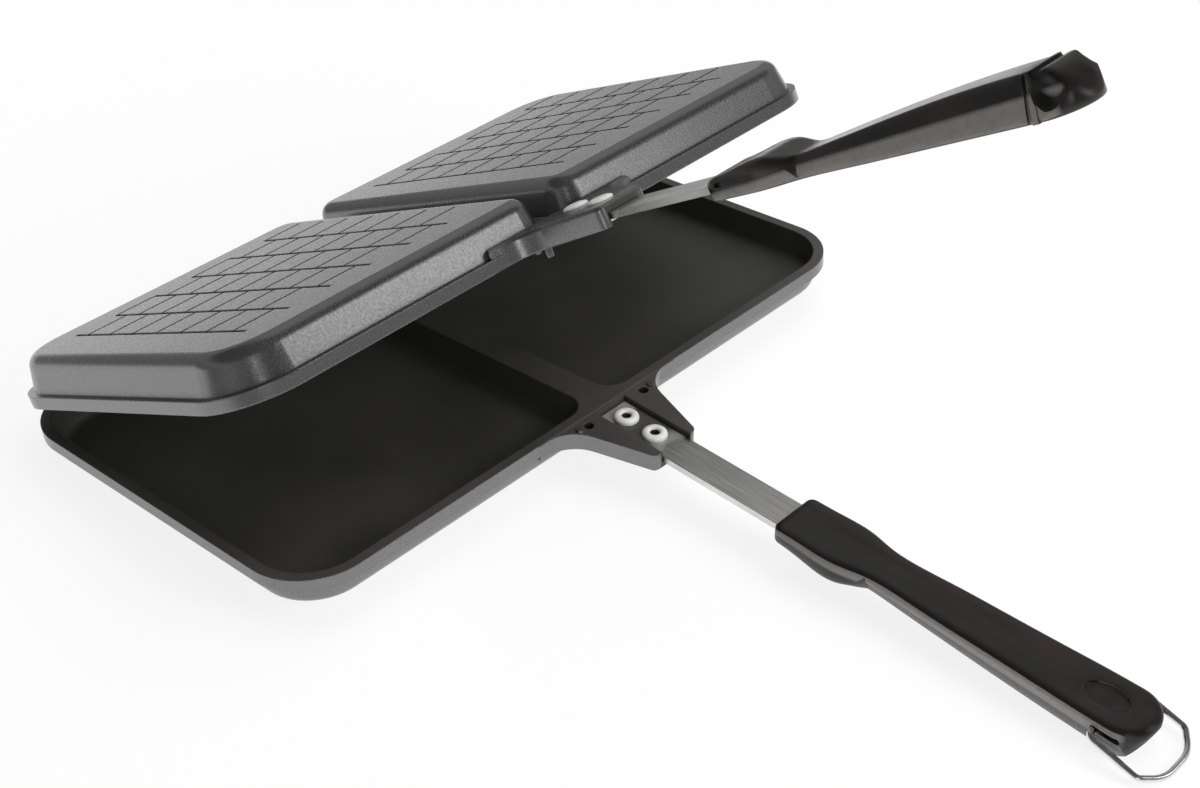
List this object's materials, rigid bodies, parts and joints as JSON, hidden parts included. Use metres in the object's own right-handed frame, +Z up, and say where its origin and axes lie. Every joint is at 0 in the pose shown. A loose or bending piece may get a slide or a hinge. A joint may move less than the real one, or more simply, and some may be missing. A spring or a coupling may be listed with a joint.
{
  "type": "camping sandwich maker",
  "caption": "Hinged cast double sandwich pan with long riveted handles, part open, and a wire bail that clips the grips shut.",
  "frame": {"origin": "under the middle of the whole object, on the surface that it stands on", "axes": "+Z up; +X along the two compartments, to the right seen from the handles; +Y from the grips towards the hinge"},
  "size_m": [0.25, 0.3632, 0.1847],
  "materials": {
    "cast_pan": "satin grey cast aluminium outside, dark non-stick coating inside",
    "strap_steel": "brushed flat steel",
    "rivet_metal": "bright rolled metal",
    "grip_phenolic": "glossy dark phenolic moulding",
    "pin_steel": "plain steel",
    "wire_chrome": "plated round wire"
  },
  "bodies": {
    "lower_half": {"lower_pan": "cast_pan", "lower_strap": "strap_steel", "lower_rivet_front": "rivet_metal", "lower_rivet_rear": "rivet_metal", "lower_grip": "grip_phenolic", "hinge_pin_left": "pin_steel", "hinge_pin_right": "pin_steel"},
    "upper_half": {"upper_pan": "cast_pan", "upper_strap": "strap_steel", "upper_rivet_front": "rivet_metal", "upper_rivet_rear": "rivet_metal", "upper_grip": "grip_phenolic"},
    "bail": {"bail": "wire_chrome"}
  },
  "joints": [
    {"name": "pan_hinge", "type": "hinge", "parent": "lower_half", "child": "upper_half", "pos_m": [0, 0.17723, 0.01183], "axis": [-1, 0, 0], "range_deg": [-21.7, 143]},
    {"name": "bail_swing", "type": "hinge", "parent": "lower_half", "child": "bail", "pos_m": [0, -0.16014, 0.00753], "axis": [-1, 0, 0], "range_deg": [0, 177.9]}
  ]
}
